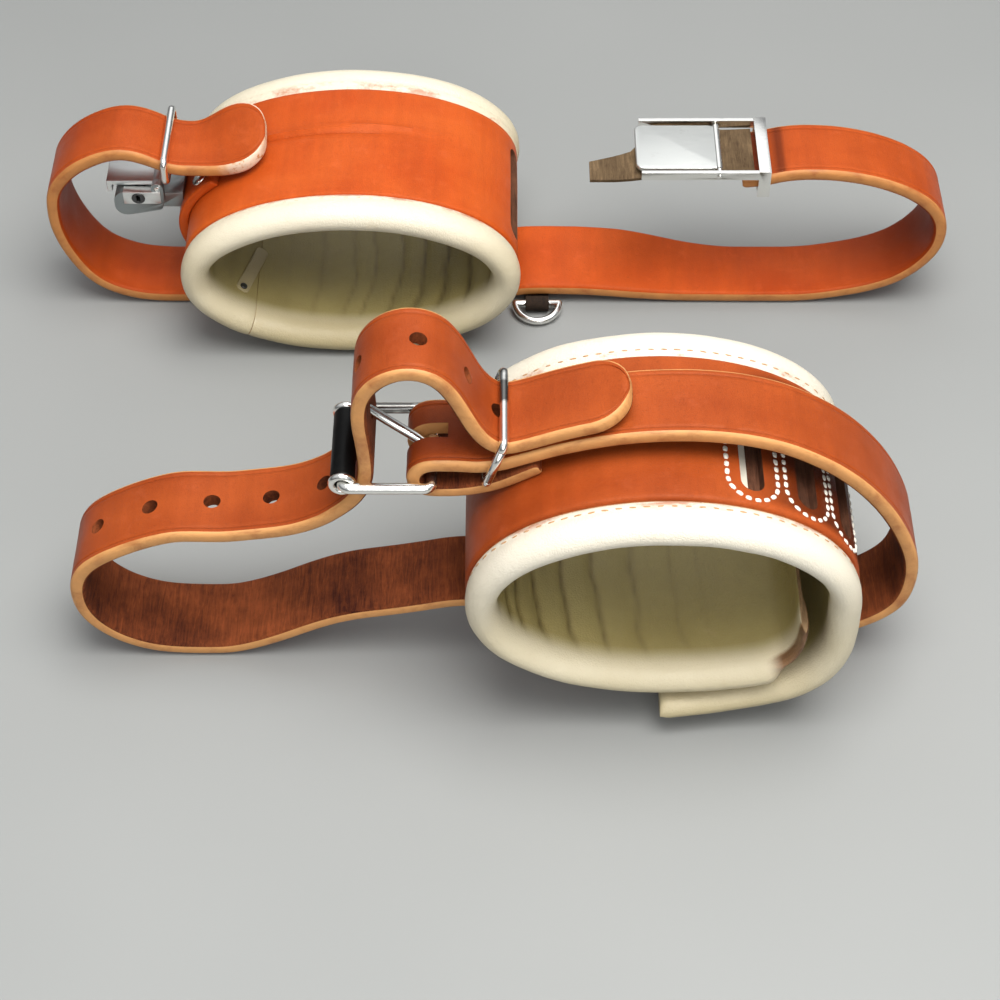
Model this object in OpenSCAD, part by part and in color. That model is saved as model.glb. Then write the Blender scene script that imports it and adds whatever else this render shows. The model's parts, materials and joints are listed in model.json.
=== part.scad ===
// A pair of padded leather limb cuffs. Each cuff lies on its side with its long strap looped
// round it. X runs along the long straps, Y through the cuffs' openings, Z up from the floor.

/* [Cuffs] */
// Distance between the two cuffs' middle planes
cuff_spacing = 156; // [130:1:200]
// Width of a padded cuff along its opening
cuff_w = 80; // [76:1:90]
// Width of the leather body that is sewn round the padding
body_w = 55; // [50:1:58]
// Thickness of the body leather
body_t = 3; // [2:0.1:3.2]
// Thickness of a padded rim
rim_t = 9; // [8:0.1:9]
// Thickness of the lining leather
lining_t = 2; // [1:0.1:2.5]
// Length of a strap slot in the body
slot_l = 44; // [30:1:46]
// Width of a strap slot in the body
slot_w = 7; // [4:0.5:8]

/* [Straps] */
// Width of the straps
strap_w = 25.4; // [22:0.1:26]
// Thickness of the straps
strap_t = 4.4; // [3.6:0.1:4.4]
// Diameter of the holes that the tongue goes through
hole_d = 5; // [4.8:0.1:6]
// Distance between those holes
hole_pitch = 17.9; // [17:0.1:18.2]

/* [Front buckle] */
// Diameter of the wire of the frame
frame_d = 3.2; // [2.6:0.1:3.4]
// Distance between the side wires, centre to centre
frame_w = 31; // [30:0.1:34]
// Outer diameter of the roller
roller_d = 7; // [6:0.1:7.2]
// Diameter of the tongue
tongue_d = 2.8; // [2.4:0.1:3.2]
// Length of the tongue from its pivot
tongue_l = 25; // [24:0.1:25]
// Radial running clearance of everything that turns
run = 0.06; // [0.02:0.01:0.1]

/* [Wire parts] */
// Diameter of the wire of the keepers and the D ring
wire_d = 2.6; // [2:0.1:2.6]
// Inside width of the keepers
keeper_w = 27; // [26.4:0.1:29]
// Radius of the D ring's bow
ring_r = 7.5; // [7:0.1:8]

/* [Hidden] */
$fn = 48;

orange = [0.80, 0.36, 0.18];
cream = [0.95, 0.91, 0.84];
brown = [0.36, 0.20, 0.11];
felt = [0.55, 0.45, 0.33];
metal = [0.86, 0.86, 0.84];
black = [0.06, 0.06, 0.06];

half = strap_t / 2;
rim_w = (cuff_w - body_w) / 2;
gap = 0.1;              // face to face room between layers of one cuff
slot_angles = [65, 45, 23];
rear_slot_angles = [10, -8, -26];

// Cuff rings: centre and half axes of the middle line of the padding, as [x, z]
front_c = [46, 51.5];
front_r = [51.5, 33.3];
rear_c = [-50, 32];
rear_r = [52.3, 27.3];
rear_body_c = [-50, 33.9];
rear_body_r = [54.5, 27.5];
rear_open = 228;      // where the rear cuff's two ends meet
open_half = 1;

// The front cuff's padding is a spiral: its inner end curls up inside the right wall,
// and its outer end runs on under the ring.
inner_end = [
    [88.5, 42], [87.9, 34], [85.2, 27.8], [81.3, 24.4], [75.5, 21.9], [68, 20], [58, 18.8]
];
outer_end = [
    [97.8, 42], [96.9, 31.9], [93.2, 22.6], [87, 16.5], [79, 12.8], [71, 10.7], [60, 9.4],
    [47, 9.2]
];

// Front strap: the turned end under the fold, the fold round the buckle's bar, over the cuff,
// the right loop, under the cuff, the left loop, up through the buckle, and the tip.
bar_pos = [-19, 79.5];
fold_r = 5.2;
turned_end = [[11, 84], [5.5, 80.7], [0, 77.5], [-6, 75.4], [-12, 74.4]];
front_over = [
    [-12, 84.6], [-6, 84.1], [0, 85], [6, 87.3], [11, 89.3], [16, 91.2], [27, 94.3], [38, 96.2],
    [50, 96.8], [60, 96.3], [70, 94.6], [80, 91.2], [90, 85.5], [98, 79.2], [105, 71.8],
    [111, 63.5], [116, 54], [119.5, 44], [120.3, 34], [118.5, 25], [113.5, 18.6], [106, 13.6],
    [97, 9.2], [88, 5.4], [79, 3], [70, 2.2], [60, 2.2], [52, 2.4], [45, 4.4], [38, 7.8],
    [30, 11], [22, 13.5], [14, 16.6], [8, 19.6], [2, 22.7], [-4, 24.7], [-10, 25.3],
    [-16, 24.7], [-24, 22.8], [-33, 20.8], [-42, 19], [-50, 16.5], [-58, 12.8], [-66, 8.6],
    [-74, 5], [-82, 2.6], [-90, 2.2], [-98, 2.5], [-104, 3.4], [-110, 5.6], [-116, 9.4],
    [-121.3, 15.2], [-124.2, 21.5], [-125, 28], [-124.2, 34], [-121.5, 39.5], [-117, 43.8],
    [-111, 47.6], [-104, 51], [-98, 53.2], [-92, 54.4], [-80, 54.4], [-72, 55.4], [-63, 56.9],
    [-57, 58.7], [-51, 61.7], [-46, 65.6], [-41.6, 70.2], [-38.6, 75.6], [-37.3, 82],
    [-37.6, 92], [-38.3, 100], [-38.1, 107], [-36.5, 112.6], [-33, 117.2], [-28.5, 119.9],
    [-24, 120.6], [-19.8, 119.6], [-16, 116.8], [-12.8, 112], [-10, 105.8], [-7.4, 99.8],
    [-4.2, 94.8], [0, 91.8], [5, 92.6], [11, 94.9], [16, 96.9], [22, 98.9], [27, 100.4],
    [36, 103.8]
];

// Rear strap: the tip on the cuff, the left loop, under the cuff, the right loop, the clamp.
rear_path = [
    [-78, 66], [-86, 64.2], [-94, 61.2], [-101, 59.4], [-107, 59.4], [-112, 61], [-118, 64],
    [-124, 65.8], [-130.3, 65.2], [-137, 62.4], [-142.5, 58.8], [-147, 54], [-150, 48.6],
    [-151, 42], [-150.8, 34], [-148.8, 25.7], [-145.2, 17.4], [-141, 11.3], [-135.5, 6.9],
    [-127, 3.5], [-118, 2.3], [-110, 2.2], [-80, 2.2], [-40, 2.2], [-10, 2.2], [0, 3.2],
    [7, 4.9], [13, 5.3], [20, 5.3], [28, 5.1], [37, 4.4], [49, 3.2], [63, 2.3], [77, 2.2], [92, 2.2],
    [106, 2.4], [118, 4.2], [129, 7], [138, 11.2], [145, 17.6], [149.3, 25], [150.3, 32],
    [148.8, 38.5], [144.5, 44.3], [138, 49], [131, 52.3], [123, 55], [113, 57], [102, 57.6],
    [94, 56.6], [88, 54.9], [81, 54]
];

// One point of a smooth curve between b and c
function blend(a, b, c, d, u) =
    0.5 * (2 * b + (c - a) * u + (2 * a - 5 * b + 4 * c - d) * u * u
           + (3 * b - a - 3 * c + d) * u * u * u);

// A smooth curve through points, with steps pieces between each two
function smooth(points, steps) = [
    for (i = [0 : len(points) - 2])
        let (a = points[max(i - 1, 0)], d = points[min(i + 2, len(points) - 1)])
            for (k = [0 : steps - 1])
                blend(a, points[i], points[i + 1], d, k / steps),
    points[len(points) - 1]
];

// The same curve, held up so that a strap of half thickness never dips under the floor
function laid(points, steps) = [for (p = smooth(points, steps)) [p[0], max(p[1], half)]];

// Points on an ellipse, clockwise from one angle down to another
function ellipse(c, r, from, to, step) =
    [for (t = [from : -step : to]) [c[0] + r[0] * cos(t), c[1] + r[1] * sin(t)]];

function heading(line, i) =
    let (d = line[min(i + 1, len(line) - 1)] - line[max(i - 1, 0)]) d / norm(d);

// A point of the line moved sideways; a positive distance is to the left of the way along
function beside(line, i, dist) = line[i] + dist * [-heading(line, i)[1], heading(line, i)[0]];

// Closed outline of a band that runs along a line, from side lo to side hi of it
function band(line, lo, hi) = concat(
    [for (i = [0 : len(line) - 1]) beside(line, i, hi)],
    [for (i = [len(line) - 1 : -1 : 0]) beside(line, i, lo)]);

function length_to(line, i) =
    i == 0 ? 0 : norm(line[i] - line[i - 1]) + length_to(line, i - 1);

function whole(line) = length_to(line, len(line) - 1);

// The point of the line that is nearest to p, by index
function nearest(line, p) =
    let (far = [for (q = line) norm(q - p)], least = min(far))
        [for (i = [0 : len(line) - 1]) if (far[i] == least) i][0];

// The first point of the line at or past a length along it, by index
function past(line, s) = [for (i = [1 : len(line) - 1]) if (length_to(line, i) >= s) i][0];

// An outline drawn in X and Z, w wide along Y and centred there
module wide(w) translate([0, w / 2, 0]) rotate([90, 0, 0]) linear_extrude(w) children();

module ribbon(line, lo, hi, w) wide(w) polygon(band(line, lo, hi));

// Places things at a length along a line: local Z stands off the line, local X runs along it
module on_line(line, s) {
    i = past(line, s);
    way = (line[i] - line[i - 1]) / norm(line[i] - line[i - 1]);
    p = line[i] - (length_to(line, i) - s) * way;
    translate([p[0], 0, p[1]]) rotate([0, -atan2(way[1], way[0]), 0]) children();
}

module at_front() translate([0, -cuff_spacing / 2, 0]) children();
module at_rear() translate([0, cuff_spacing / 2, 0]) children();

// A rod along Y
module rod(x, z, d, l) translate([x, l / 2, z]) rotate([90, 0, 0]) cylinder(d = d, h = l);

// Cuts the corners off a strap's end, which points along +X
module round_end(w, r)
    for (s = [-1, 1])
        difference() {
            translate([-r, s * (w / 2 - r / 2 + 1) - r / 2 - 1, -strap_t])
                cube([r + 2, r + 2, 2 * strap_t]);
            translate([-r, s * (w / 2 - r), -strap_t - 1])
                cylinder(r = r, h = 2 * strap_t + 2);
        }

// A slot through a body at an angle of its ring
module slot_cut(c, r, angle)
    translate([c[0] + r[0] * cos(angle), 0, c[1] + r[1] * sin(angle)])
        rotate([0, atan2(r[1] * cos(angle), r[0] * sin(angle)), 0]) {
            translate([-slot_w / 2, -(slot_l - slot_w) / 2, -body_t])
                cube([slot_w, slot_l - slot_w, 2 * body_t]);
            for (s = [-1, 1])
                translate([0, s * (slot_l - slot_w) / 2, -body_t])
                    cylinder(d = slot_w, h = 2 * body_t);
        }

// A closed loop of wire, lx by ly, lying in X and Y and centred there
module wire_loop(lx, ly, bend, d) {
    for (s = [-1, 1]) {
        translate([s * lx / 2, 0, 0]) rotate([90, 0, 0])
            cylinder(d = d, h = ly - 2 * bend, center = true);
        translate([0, s * ly / 2, 0]) rotate([0, 90, 0])
            cylinder(d = d, h = lx - 2 * bend, center = true);
        for (u = [-1, 1])
            translate([s * (lx / 2 - bend), u * (ly / 2 - bend), 0])
                rotate([0, 0, s > 0 ? (u > 0 ? 0 : 270) : (u > 0 ? 90 : 180)])
                    rotate_extrude(angle = 90) translate([bend, 0]) circle(d = d);
    }
}

// ---- Front cuff -------------------------------------------------------------------------

tail_line = smooth(outer_end, 3);
front_line = concat(
    smooth(concat(inner_end, [[46, 18.2]]), 3),
    ellipse(front_c, front_r, 264, 0, 6),
    tail_line);
body_line = concat(ellipse(front_c, front_r, 258, 0, 3), [tail_line[0], tail_line[1]]);
inner_face = -rim_t / 2;
body_out = rim_t / 2;
body_in = body_out - body_t;

fold_line = [for (t = [270 : -15 : 90]) bar_pos + fold_r * [cos(t), sin(t)]];
front_strap_line = concat(
    smooth(concat(turned_end, [fold_line[0]]), 3),
    [for (i = [1 : len(fold_line) - 2]) fold_line[i]],
    laid(concat([fold_line[len(fold_line) - 1]], front_over), 3));
tongue_below = 2.5;     // the tongue's hole is this far before the point named here
tongue_hole = length_to(front_strap_line, nearest(front_strap_line, [-38, 97.6])) - tongue_below;
holes = [-6 : 4];       // counted from the hole that the tongue is in

module front_lining()
    color(cream) at_front() ribbon(front_line, inner_face, inner_face + lining_t, body_w);

module front_felt_pad()
    color(felt) at_front()
        difference() {
            ribbon(front_line, inner_face + lining_t, body_in - gap, body_w);
            slot_backing_shape(front_c, front_r + [body_in, body_in] - [gap, gap],
                               front_backing);
        }

module front_rim(side)
    color(cream) at_front() translate([0, side * (cuff_w - rim_w) / 2, 0])
        ribbon(front_line, -rim_t / 2, rim_t / 2, rim_w);

module front_rim_near() front_rim(-1);
module front_rim_far() front_rim(1);

module front_body_leather()
    color(orange) at_front()
        difference() {
            ribbon(body_line, body_in, body_out, body_w);
            for (a = slot_angles)
                slot_cut(front_c, front_r + [body_in, body_in], a);
        }

// A strip of brown leather let into the padding under the slots
front_backing = [57, 10];       // from one angle of the ring down to another
rear_backing = [18, -34];

module slot_backing_shape(c, r, reach) {
    top = reach[0];
    bottom = reach[1];
    t = 0.8;
    wide(slot_l + 4)
        polygon(concat(ellipse(c, r, top, bottom, 2), [
            for (a = [bottom : 2 : top])
                [c[0] + (r[0] - t) * cos(a), c[1] + (r[1] - t) * sin(a)]]));
}

module front_slot_backing()
    color(brown) at_front()
        slot_backing_shape(front_c, front_r + [body_in, body_in] - [gap, gap], front_backing);

module front_strap()
    color(orange) at_front()
        difference() {
            ribbon(front_strap_line, -half, half, strap_w);
            // room for the tongue's eye and the tongue in the fold
            rod(bar_pos[0], bar_pos[1], 7, 5.4);
            translate([bar_pos[0] - 12, -2.7, bar_pos[1] - 2])
                cube([16.5, 5.4, 14]);
            // the holes, the one with the tongue among them
            for (k = holes)
                on_line(front_strap_line, tongue_hole + k * hole_pitch)
                    cylinder(d = hole_d, h = 1.6 * strap_t, center = true);
            on_line(front_strap_line, whole(front_strap_line)) round_end(strap_w, 11);
        }

// Flat headed rivets that join a strap to a body's leather
module strap_rivet(line, p, reach)
    on_line(line, length_to(line, nearest(line, p))) {
        translate([0, 0, -half - 0.8]) cylinder(d = 7, h = 0.8);
        translate([0, 0, -half]) cylinder(d = 3, h = reach);
    }

module front_strap_rivets()
    color(metal) at_front()
        for (y = [-6, 6], p = [[22, 13.5], [12, 17.6]])
            translate([0, y, 0]) strap_rivet(reversed(front_strap_line), p, strap_t + body_t);

function reversed(line) = [for (i = [len(line) - 1 : -1 : 0]) line[i]];

// ---- Front buckle -----------------------------------------------------------------------

frame_l = 25;
frame_bend = 2.2;
tongue_dir = 137.6;

module front_buckle_frame()
    color(metal) at_front()
        translate([bar_pos[0] - frame_l / 2, 0, bar_pos[1]])
            wire_loop(frame_l, frame_w, frame_bend, frame_d);

module front_buckle_roller()
    color(black) at_front()
        difference() {
            rod(bar_pos[0] - frame_l, bar_pos[1], roller_d, 25.6);
            rod(bar_pos[0] - frame_l, bar_pos[1], frame_d + 2 * run, 30);
        }

module front_buckle_tongue()
    color(metal) at_front()
        difference() {
            union() {
                rod(bar_pos[0], bar_pos[1], 6.2, 4.6);
                translate([bar_pos[0], 0, bar_pos[1]]) rotate([0, 90 - tongue_dir, 0]) {
                    cylinder(d = tongue_d, h = tongue_l - tongue_d / 2);
                    translate([0, 0, tongue_l - tongue_d / 2]) sphere(d = tongue_d);
                }
            }
            rod(bar_pos[0], bar_pos[1], frame_d + 2 * run, 8);
        }

// The keeper's lower bar lies between the fold's two plies, its upper bar over the tip
keeper_low = [-4, 80.2];
keeper_high = [1.1, 96];

module front_keeper()
    color(metal) at_front()
        translate([(keeper_low[0] + keeper_high[0]) / 2, 0, (keeper_low[1] + keeper_high[1]) / 2])
            rotate([0, -atan2(keeper_high[1] - keeper_low[1], keeper_high[0] - keeper_low[0]), 0])
                wire_loop(norm(keeper_high - keeper_low), keeper_w + wire_d, 2, wire_d);

// ---- Rear cuff --------------------------------------------------------------------------

rear_rim_line = ellipse(rear_c, rear_r, rear_open - open_half, rear_open + open_half - 360, 3.98);
rear_body_line = ellipse(rear_body_c, rear_body_r, rear_open - open_half,
                         rear_open + open_half - 360, 2.9833);
rear_rim_t = 9.4;

// Outline between two ellipses, open where the cuff's ends meet
function between(c_in, r_in, c_out, r_out) = concat(
    ellipse(c_out, r_out, rear_open - open_half, rear_open + open_half - 360, 3.98),
    reversed(ellipse(c_in, r_in, rear_open - open_half, rear_open + open_half - 360, 3.98)));

rear_in = rear_r - [rear_rim_t / 2, rear_rim_t / 2];
rear_lining_t = 1.2;
rear_lining_out = rear_in + [rear_lining_t, rear_lining_t];
rear_pad_c = [-50, 33.8];
rear_pad_out = [52.7, 25.8];

module rear_lining()
    color(cream) at_rear()
        wide(body_w) polygon(between(rear_c, rear_in, rear_c, rear_lining_out));

module rear_felt_pad()
    color(felt) at_rear()
        difference() {
            wide(body_w)
                polygon(between(rear_c, rear_lining_out, rear_pad_c, rear_pad_out));
            slot_backing_shape(rear_pad_c, rear_pad_out, rear_backing);
        }

module rear_rim(side)
    color(cream) at_rear() translate([0, side * (cuff_w - rim_w) / 2, 0])
        ribbon(rear_rim_line, -rear_rim_t / 2, rear_rim_t / 2, rim_w);

module rear_rim_near() rear_rim(-1);
module rear_rim_far() rear_rim(1);

module rear_body_leather()
    color(orange) at_rear()
        difference() {
            ribbon(rear_body_line, -body_t / 2, body_t / 2, body_w);
            for (a = rear_slot_angles)
                slot_cut(rear_body_c, rear_body_r, a);
        }

module rear_slot_backing()
    color(brown) at_rear() slot_backing_shape(rear_pad_c, rear_pad_out, rear_backing);

rear_strap_line = laid(rear_path, 3);

module rear_strap()
    color(orange) at_rear()
        difference() {
            ribbon(rear_strap_line, -half, half, strap_w);
            on_line(reversed(rear_strap_line), whole(rear_strap_line)) round_end(strap_w, 10);
        }

// Countersunk rivets up through the strap and the body's leather
module rear_strap_rivets()
    color(metal) at_rear()
        for (x = [-62, -50], y = [-6, 6])
            translate([x, y, 0.4]) {
                cylinder(d = 3, h = 7.3);
                cylinder(d = 6, h = 0.8);
            }

module rear_keeper()
    color(metal) at_rear()
        translate([-111, 0, 60.7]) rotate([0, 90, 0])
            wire_loop(8.4, keeper_w + wire_d, 2, wire_d);

// ---- Rear lock --------------------------------------------------------------------------

chape_t = 3.4;
chape_w = 22;
chape_r = rear_body_r + [body_t / 2, body_t / 2] + [gap, gap];
lock_x = [-130.5, -114];
lock_z = [39, 47];
lock_w = 19;
ear_y = 8;
hasp_w = 12.6;
hasp_pivot = [-115.4, 49.3];
hasp_t = 1.8;
plug_pos = [-122, 45.7];
plug_d = 4.4;

module rear_lock_chape()
    color(brown) at_rear()
        wide(chape_w)
            polygon(concat(
                ellipse(rear_body_c, chape_r, 222, 142, 4),
                reversed(ellipse(rear_body_c, chape_r + [chape_t, chape_t], 222, 142, 4))));

module rear_lock_rivets()
    color(metal) at_rear()
        for (a = [214, 150], y = [-6, 6])
            translate([rear_body_c[0] + chape_r[0] * cos(a), y,
                       rear_body_c[1] + chape_r[1] * sin(a)])
                rotate([0, atan2(chape_r[1] * cos(a), chape_r[0] * sin(a)), 0]) {
                    translate([0, 0, -body_t + 0.4]) cylinder(d = 3, h = body_t + chape_t - 0.4);
                    translate([0, 0, chape_t]) cylinder(d = 6, h = 0.8);
                }

// A rounded case on a base that stands on the chape, with a raised plate round the keyhole and
// ears for the hasp's pin
module rear_lock_body()
    color(metal) at_rear()
        difference() {
            union() {
                wide(lock_w) hull()
                    for (x = [lock_x[0] + 4, lock_x[1] - 2], z = [lock_z[0] + 3, lock_z[1] - 3])
                        translate([x, z]) circle(r = x < -120 ? 3.9 : 2, $fn = 32);
                translate([lock_x[1] - 1, -7, lock_z[0] + 0.5]) cube([7.6, 14, 6]);
                translate([lock_x[0] + 3.5, -lock_w / 2 - 0.6, lock_z[1] - 3.6])
                    cube([12.5, 3.5, 4.8]);
                for (s = [-1, 1])
                    translate([0, s * ear_y, 0]) hull() {
                        rod(hasp_pivot[0], hasp_pivot[1], 4, 3);
                        rod(hasp_pivot[0], hasp_pivot[1] - 5, 4, 3);
                    }
            }
            rod(hasp_pivot[0], hasp_pivot[1], 1.6 + 2 * run, lock_w);
            translate([plug_pos[0], -lock_w / 2 - 1, plug_pos[1]]) rotate([-90, 0, 0])
                cylinder(d = plug_d + 2 * run, h = 11);
        }

module rear_lock_pin()
    color(metal) at_rear() rod(hasp_pivot[0], hasp_pivot[1], 1.6 + 2 * run, lock_w - 0.6);

module rear_lock_hasp()
    color(metal) at_rear()
        difference() {
            union() {
                rod(hasp_pivot[0], hasp_pivot[1], 3.6, hasp_w);
                translate([-131, -hasp_w / 2, hasp_pivot[1] - hasp_t / 2])
                    cube([15.6, hasp_w, hasp_t]);
                translate([-132.8, -hasp_w / 2, hasp_pivot[1] - 3.4])
                    cube([1.8, hasp_w, 3.4 + hasp_t / 2]);
            }
            rod(hasp_pivot[0], hasp_pivot[1], 1.6 + 4 * run, 20);
        }

module rear_lock_plug()
    color(metal) at_rear()
        translate([plug_pos[0], -lock_w / 2 - 0.8, plug_pos[1]])
            difference() {
                rotate([-90, 0, 0]) cylinder(d = plug_d, h = 10.4);
                translate([-0.6, -1, -1.4]) cube([1.2, 4, 2.8]);
            }

// ---- Rear clamp buckle ------------------------------------------------------------------

lever_tip = 45.4;
clamp_under = 50.1;
clamp_in = 12.9;
wall_t = 1.5;
lever_w = 22.4;
clamp_x = [47, 86, 90];      // its open end, and the ring round the strap
clamp_rail = [57.4, 60.4];
lever_pivot = [73, 58.9];
lever_t = 1.6;

module rear_clamp_frame()
    color(metal) at_rear()
        difference() {
            union() {
                // two side rails, and a flat ring that the strap goes through
                for (s = [-1, 1])
                    translate([0, s * (clamp_in + wall_t / 2), 0])
                        wide(wall_t) polygon([
                            [clamp_x[0], clamp_rail[0]], [clamp_x[0], clamp_rail[1]],
                            [clamp_x[2], clamp_rail[1]], [clamp_x[2], clamp_under],
                            [clamp_x[1], clamp_under], [clamp_x[1], clamp_rail[0]]]);
                for (z = [clamp_under, 59.4])
                    translate([clamp_x[1], -clamp_in - wall_t, z])
                        cube([clamp_x[2] - clamp_x[1], 2 * (clamp_in + wall_t), 1.4]);
            }
            rod(lever_pivot[0], lever_pivot[1], 1.6 + 2 * run, 40);
        }

module rear_clamp_pin()
    color(metal) at_rear()
        rod(lever_pivot[0], lever_pivot[1], 1.6 + 2 * run, 2 * (clamp_in + wall_t) + 0.6);

module rear_clamp_lever()
    color(metal) at_rear()
        difference() {
            union() {
                rod(lever_pivot[0], lever_pivot[1], 2.8, lever_w);
                translate([lever_tip, -lever_w / 2, lever_pivot[1] - 0.5])
                    cube([lever_pivot[0] - lever_tip, lever_w, lever_t]);
            }
            rod(lever_pivot[0], lever_pivot[1], 1.6 + 4 * run, 40);
        }

// The brown tab lies on the strap's end inside the frame and comes out tapered on the left
tab_line = smooth([[85, 57.2], [78, 56.8], [70, 56.75], [60, 56.75], [52, 56.6], [45, 55.6],
                   [38, 54.8], [30, 54.6]], 3);
tab_t = 1.1;

module rear_clamp_tab()
    color(brown) at_rear()
        intersection() {
            ribbon(tab_line, -tab_t / 2, tab_t / 2, 24);
            translate([0, 0, 40])
                linear_extrude(40)
                    polygon([[90, 12], [52, 12], [44, 2], [29, -2.5], [29, -11.5], [44, -12],
                             [90, -12]]);
        }

// ---- Rear D ring ------------------------------------------------------------------------

ring_pos = [13, -16.2, 2.95];
ring_tilt = 11;
ring_chape_w = 8;
ring_chape_t = 1.2;

module rear_d_ring()
    color(metal) at_rear()
        translate(ring_pos) rotate([ring_tilt, 0, 0]) {
            rotate([0, 0, 180]) rotate_extrude(angle = 180)
                translate([ring_r, 0]) circle(d = wire_d);
            rotate([0, 90, 0]) cylinder(d = wire_d, h = 2 * ring_r, center = true);
            for (s = [-1, 1])
                translate([s * ring_r, 0, 0]) sphere(d = wire_d);
        }

module rear_d_ring_chape()
    color(orange) at_rear()
        translate([ring_pos[0] - ring_chape_w / 2, 0, 0]) {
            eye_in = wire_d / 2 + 0.1;
            eye_out = eye_in + ring_chape_t;
            difference() {
                union() {
                    translate([0, ring_pos[1], ring_pos[2]]) rotate([0, 90, 0])
                        cylinder(r = eye_out, h = ring_chape_w);
                    translate([0, ring_pos[1], ring_pos[2] - eye_out])
                        cube([ring_chape_w, 16, 2 * ring_chape_t]);
                }
                translate([-1, ring_pos[1], ring_pos[2]]) rotate([0, 90, 0])
                    cylinder(r = eye_in, h = ring_chape_w + 2);
            }
        }

front_lining();
front_felt_pad();
front_rim_near();
front_rim_far();
front_body_leather();
front_slot_backing();
front_strap();
front_strap_rivets();
front_buckle_frame();
front_buckle_roller();
front_buckle_tongue();
front_keeper();
rear_lining();
rear_felt_pad();
rear_rim_near();
rear_rim_far();
rear_body_leather();
rear_slot_backing();
rear_strap();
rear_strap_rivets();
rear_keeper();
rear_lock_chape();
rear_lock_rivets();
rear_lock_body();
rear_lock_hasp();
rear_lock_pin();
rear_lock_plug();
rear_clamp_frame();
rear_clamp_lever();
rear_clamp_pin();
rear_clamp_tab();
rear_d_ring();
rear_d_ring_chape();
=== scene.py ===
import json
import math
import random

import bmesh
import bpy
import numpy as np
from mathutils import Matrix, Vector, noise

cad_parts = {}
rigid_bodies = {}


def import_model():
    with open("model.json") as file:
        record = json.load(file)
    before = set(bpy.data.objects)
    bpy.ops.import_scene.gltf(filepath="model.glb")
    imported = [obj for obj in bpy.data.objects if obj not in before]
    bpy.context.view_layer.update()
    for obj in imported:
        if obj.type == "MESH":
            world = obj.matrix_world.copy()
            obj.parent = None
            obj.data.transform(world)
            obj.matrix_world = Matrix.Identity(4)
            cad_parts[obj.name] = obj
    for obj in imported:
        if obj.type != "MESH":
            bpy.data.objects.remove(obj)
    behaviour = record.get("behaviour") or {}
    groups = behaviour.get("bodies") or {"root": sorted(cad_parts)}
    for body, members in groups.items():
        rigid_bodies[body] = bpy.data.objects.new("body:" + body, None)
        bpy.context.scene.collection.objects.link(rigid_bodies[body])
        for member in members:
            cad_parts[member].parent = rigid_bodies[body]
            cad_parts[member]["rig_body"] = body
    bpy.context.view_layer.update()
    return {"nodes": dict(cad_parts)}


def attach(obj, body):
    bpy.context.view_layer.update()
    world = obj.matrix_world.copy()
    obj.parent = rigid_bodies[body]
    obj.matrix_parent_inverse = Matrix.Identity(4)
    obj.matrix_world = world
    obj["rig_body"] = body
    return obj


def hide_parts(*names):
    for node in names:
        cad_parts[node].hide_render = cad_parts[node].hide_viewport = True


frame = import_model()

# Shapes are worked out in millimetres, in the part's own frame, and become metres in the meshes.
MM = 0.001
FRONT_Y, REAR_Y = -78.0, 78.0
NODES = frame["nodes"]


# ---- Materials --------------------------------------------------------

# Where the painted shade under the strap, round the front cuff's outer slots, begins and is full: along the
# part, and off its mid-plane.
SLOT_SHADE_X, SLOT_SHADE_OFF_MIDDLE = (68, 81.33), (26.2, 23.26)
# Painted shade darkens the rims' cream low down, and painted light whitens it high up: heights where that
# begins and is full.
LOW_SHADE_Z, HIGH_LIGHT_Z = (27, 7), (40, 72.26)
FAR_DARKENING_PER_MM = 0.013      # how fast the front buckle's wire darkens away from the mid-plane


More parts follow.
